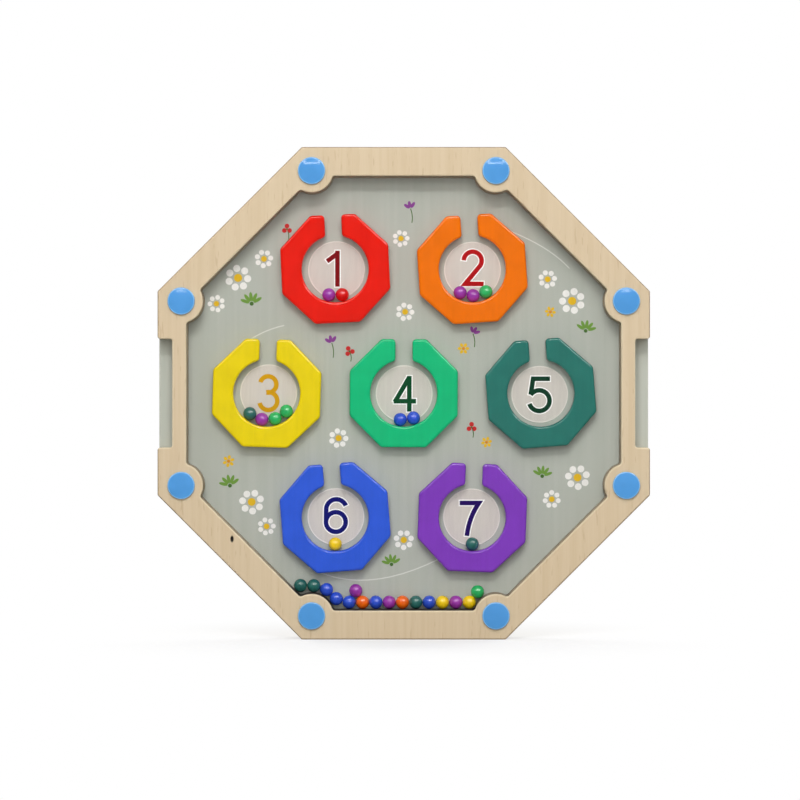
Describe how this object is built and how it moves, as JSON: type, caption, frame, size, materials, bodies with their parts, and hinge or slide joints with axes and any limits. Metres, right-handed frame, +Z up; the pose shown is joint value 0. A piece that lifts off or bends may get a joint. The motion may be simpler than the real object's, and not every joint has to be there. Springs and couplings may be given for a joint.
{
  "type": "counting ball game board",
  "caption": "Octagonal wooden tilt game: loose coloured balls roll behind a clear cover, through slots into painted rings round printed numbers.",
  "frame": {"origin": "middle of the flat lower edge that the board stands on, half way through its thickness", "axes": "+Z up, +X to the right and -Y out of the face, for someone looking at the board"},
  "size_m": [0.36, 0.0272, 0.36],
  "materials": {
    "birch_plywood": "clear-lacquered birch plywood, satin",
    "printed_board": "printed plywood, matt grey-green",
    "clear_cover": "clear acrylic sheet, polished",
    "cap_blue": "moulded blue plastic, glossy",
    "screw_steel": "zinc-plated steel",
    "ring_red": "red paint on wood, satin",
    "ring_orange": "orange paint on wood, satin",
    "ring_yellow": "yellow paint on wood, satin",
    "ring_green": "green paint on wood, satin",
    "ring_teal": "teal paint on wood, satin",
    "ring_blue": "blue paint on wood, satin",
    "ring_purple": "purple paint on wood, satin",
    "ball_red": "glossy red paint",
    "ball_orange": "glossy orange paint",
    "ball_yellow": "glossy yellow paint",
    "ball_green": "glossy green paint",
    "ball_dark_green": "glossy dark green paint",
    "ball_blue": "glossy blue paint",
    "ball_purple": "glossy purple paint"
  },
  "bodies": {
    "board": {"front_frame": "birch_plywood", "spacer_frame": "birch_plywood", "back_board": "printed_board", "clear_cover": "clear_cover", "ring_1_red": "ring_red", "ring_2_orange": "ring_orange", "ring_3_yellow": "ring_yellow", "ring_4_green": "ring_green", "ring_5_teal": "ring_teal", "ring_6_blue": "ring_blue", "ring_7_purple": "ring_purple", "cap_1": "cap_blue", "cap_2": "cap_blue", "cap_3": "cap_blue", "cap_4": "cap_blue", "cap_5": "cap_blue", "cap_6": "cap_blue", "cap_7": "cap_blue", "cap_8": "cap_blue", "screw_1": "screw_steel", "screw_2": "screw_steel", "screw_3": "screw_steel", "screw_4": "screw_steel", "screw_5": "screw_steel", "screw_6": "screw_steel", "screw_7": "screw_steel", "screw_8": "screw_steel"},
    "ring_1_ball_1": {"ring_1_ball_1_purple": "ball_purple"},
    "ring_1_ball_2": {"ring_1_ball_2_red": "ball_red"},
    "ring_2_ball_1": {"ring_2_ball_1_purple": "ball_purple"},
    "ring_2_ball_2": {"ring_2_ball_2_purple": "ball_purple"},
    "ring_2_ball_3": {"ring_2_ball_3_green": "ball_green"},
    "ring_3_ball_1": {"ring_3_ball_1_dark_green": "ball_dark_green"},
    "ring_3_ball_2": {"ring_3_ball_2_purple": "ball_purple"},
    "ring_3_ball_3": {"ring_3_ball_3_green": "ball_green"},
    "ring_3_ball_4": {"ring_3_ball_4_green": "ball_green"},
    "ring_4_ball_1": {"ring_4_ball_1_blue": "ball_blue"},
    "ring_4_ball_2": {"ring_4_ball_2_blue": "ball_blue"},
    "ring_6_ball_1": {"ring_6_ball_1_yellow": "ball_yellow"},
    "ring_7_ball_1": {"ring_7_ball_1_dark_green": "ball_dark_green"},
    "lobe_ball": {"lobe_ball_green": "ball_green"},
    "upper_ball": {"upper_ball_purple": "ball_purple"},
    "rail_ball_1": {"rail_ball_1_yellow": "ball_yellow"},
    "rail_ball_2": {"rail_ball_2_purple": "ball_purple"},
    "rail_ball_3": {"rail_ball_3_yellow": "ball_yellow"},
    "rail_ball_4": {"rail_ball_4_blue": "ball_blue"},
    "rail_ball_5": {"rail_ball_5_dark_green": "ball_dark_green"},
    "rail_ball_6": {"rail_ball_6_orange": "ball_orange"},
    "rail_ball_7": {"rail_ball_7_purple": "ball_purple"},
    "rail_ball_8": {"rail_ball_8_blue": "ball_blue"},
    "rail_ball_9": {"rail_ball_9_orange": "ball_orange"},
    "rail_ball_10": {"rail_ball_10_blue": "ball_blue"},
    "rail_ball_11": {"rail_ball_11_blue": "ball_blue"},
    "rail_ball_12": {"rail_ball_12_blue": "ball_blue"},
    "rail_ball_13": {"rail_ball_13_dark_green": "ball_dark_green"},
    "rail_ball_14": {"rail_ball_14_dark_green": "ball_dark_green"}
  },
  "joints": [
    {"name": "ring_1_ball_1_roll", "type": "hinge", "parent": "board", "child": "ring_1_ball_1", "pos_m": [-0.0503, 0.0028, 0.27126], "axis": [0, 1, 0], "range_deg": [0, 135]},
    {"name": "ring_1_ball_2_roll", "type": "hinge", "parent": "board", "child": "ring_1_ball_2", "pos_m": [-0.0503, 0.0028, 0.27126], "axis": [0, -1, 0], "range_deg": [0, 134]},
    {"name": "ring_2_ball_1_roll", "type": "hinge", "parent": "board", "child": "ring_2_ball_1", "pos_m": [0.0503, 0.0028, 0.27126], "axis": [0, 1, 0], "range_deg": [0, 122]},
    {"name": "ring_2_ball_2_roll", "type": "hinge", "parent": "board", "child": "ring_2_ball_2", "pos_m": [0.0503, 0.0028, 0.27126], "axis": [0, 1, 0], "range_deg": [0, 122]},
    {"name": "ring_2_ball_3_roll", "type": "hinge", "parent": "board", "child": "ring_2_ball_3", "pos_m": [0.0503, 0.0028, 0.27126], "axis": [0, -1, 0], "range_deg": [0, 118]},
    {"name": "ring_3_ball_1_roll", "type": "hinge", "parent": "board", "child": "ring_3_ball_1", "pos_m": [-0.1006, 0.0028, 0.18], "axis": [0, 1, 0], "range_deg": [0, 109]},
    {"name": "ring_3_ball_2_roll", "type": "hinge", "parent": "board", "child": "ring_3_ball_2", "pos_m": [-0.1006, 0.0028, 0.18], "axis": [0, 1, 0], "range_deg": [0, 109]},
    {"name": "ring_3_ball_3_roll", "type": "hinge", "parent": "board", "child": "ring_3_ball_3", "pos_m": [-0.1006, 0.0028, 0.18], "axis": [0, -1, 0], "range_deg": [0, 101]},
    {"name": "ring_3_ball_4_roll", "type": "hinge", "parent": "board", "child": "ring_3_ball_4", "pos_m": [-0.1006, 0.0028, 0.18], "axis": [0, -1, 0], "range_deg": [0, 101]},
    {"name": "ring_4_ball_1_roll", "type": "hinge", "parent": "board", "child": "ring_4_ball_1", "pos_m": [0, 0.0028, 0.18], "axis": [0, 1, 0], "range_deg": [0, 141]},
    {"name": "ring_4_ball_2_roll", "type": "hinge", "parent": "board", "child": "ring_4_ball_2", "pos_m": [0, 0.0028, 0.18], "axis": [0, -1, 0], "range_deg": [0, 127]},
    {"name": "ring_6_ball_1_roll", "type": "hinge", "parent": "board", "child": "ring_6_ball_1", "pos_m": [-0.0503, 0.0028, 0.08874], "axis": [0, -1, 0], "range_deg": [-148, 148]},
    {"name": "ring_7_ball_1_roll", "type": "hinge", "parent": "board", "child": "ring_7_ball_1", "pos_m": [0.0503, 0.0028, 0.08874], "axis": [0, -1, 0], "range_deg": [-148, 148]},
    {"name": "lobe_ball_lift", "type": "slide", "parent": "board", "child": "lobe_ball", "axis": [0, 0, 1], "range_m": [0, 0.0095]},
    {"name": "upper_ball_lift", "type": "slide", "parent": "board", "child": "upper_ball", "axis": [0, 0, 1], "range_m": [0, 0.0045]},
    {"name": "rail_ball_1_lift", "type": "slide", "parent": "board", "child": "rail_ball_1", "axis": [0, 0, 1], "range_m": [0, 0.0095]},
    {"name": "rail_ball_2_lift", "type": "slide", "parent": "board", "child": "rail_ball_2", "axis": [0, 0, 1], "range_m": [0, 0.0175]},
    {"name": "rail_ball_3_lift", "type": "slide", "parent": "board", "child": "rail_ball_3", "axis": [0, 0, 1], "range_m": [0, 0.0195]},
    {"name": "rail_ball_4_lift", "type": "slide", "parent": "board", "child": "rail_ball_4", "axis": [0, 0, 1], "range_m": [0, 0.0305]},
    {"name": "rail_ball_5_lift", "type": "slide", "parent": "board", "child": "rail_ball_5", "axis": [0, 0, 1], "range_m": [0, 0.041]},
    {"name": "rail_ball_6_lift", "type": "slide", "parent": "board", "child": "rail_ball_6", "axis": [0, 0, 1], "range_m": [0, 0.108]},
    {"name": "rail_ball_7_lift", "type": "slide", "parent": "board", "child": "rail_ball_7", "axis": [0, 0, 1], "range_m": [0, 0.0395]},
    {"name": "rail_ball_8_lift", "type": "slide", "parent": "board", "child": "rail_ball_8", "axis": [0, 0, 1], "range_m": [0, 0.028]},
    {"name": "rail_ball_9_lift", "type": "slide", "parent": "board", "child": "rail_ball_9", "axis": [0, 0, 1], "range_m": [0, 0.0045]},
    {"name": "rail_ball_10_lift", "type": "slide", "parent": "board", "child": "rail_ball_10", "axis": [0, 0, 1], "range_m": [0, 0.0045]},
    {"name": "rail_ball_11_lift", "type": "slide", "parent": "board", "child": "rail_ball_11", "axis": [0, 0, 1], "range_m": [0, 0.0045]},
    {"name": "rail_ball_12_lift", "type": "slide", "parent": "board", "child": "rail_ball_12", "axis": [0, 0, 1], "range_m": [0, 0.0045]},
    {"name": "rail_ball_13_lift", "type": "slide", "parent": "board", "child": "rail_ball_13", "axis": [0, 0, 1], "range_m": [0, 0.0045]},
    {"name": "rail_ball_14_lift", "type": "slide", "parent": "board", "child": "rail_ball_14", "axis": [0, 0, 1], "range_m": [0, 0.0045]}
  ],
  "couplings": [
    {"joint": "ring_2_ball_2_roll", "follows": "ring_2_ball_1_roll", "ratio": 1},
    {"joint": "ring_3_ball_2_roll", "follows": "ring_3_ball_1_roll", "ratio": 1},
    {"joint": "ring_3_ball_3_roll", "follows": "ring_3_ball_4_roll", "ratio": 1},
    {"joint": "rail_ball_1_lift", "follows": "lobe_ball_lift", "ratio": 1},
    {"joint": "rail_ball_9_lift", "follows": "upper_ball_lift", "ratio": 1},
    {"joint": "rail_ball_10_lift", "follows": "upper_ball_lift", "ratio": 1},
    {"joint": "rail_ball_11_lift", "follows": "upper_ball_lift", "ratio": 1},
    {"joint": "rail_ball_12_lift", "follows": "upper_ball_lift", "ratio": 1},
    {"joint": "rail_ball_13_lift", "follows": "upper_ball_lift", "ratio": 1},
    {"joint": "rail_ball_14_lift", "follows": "upper_ball_lift", "ratio": 1}
  ]
}
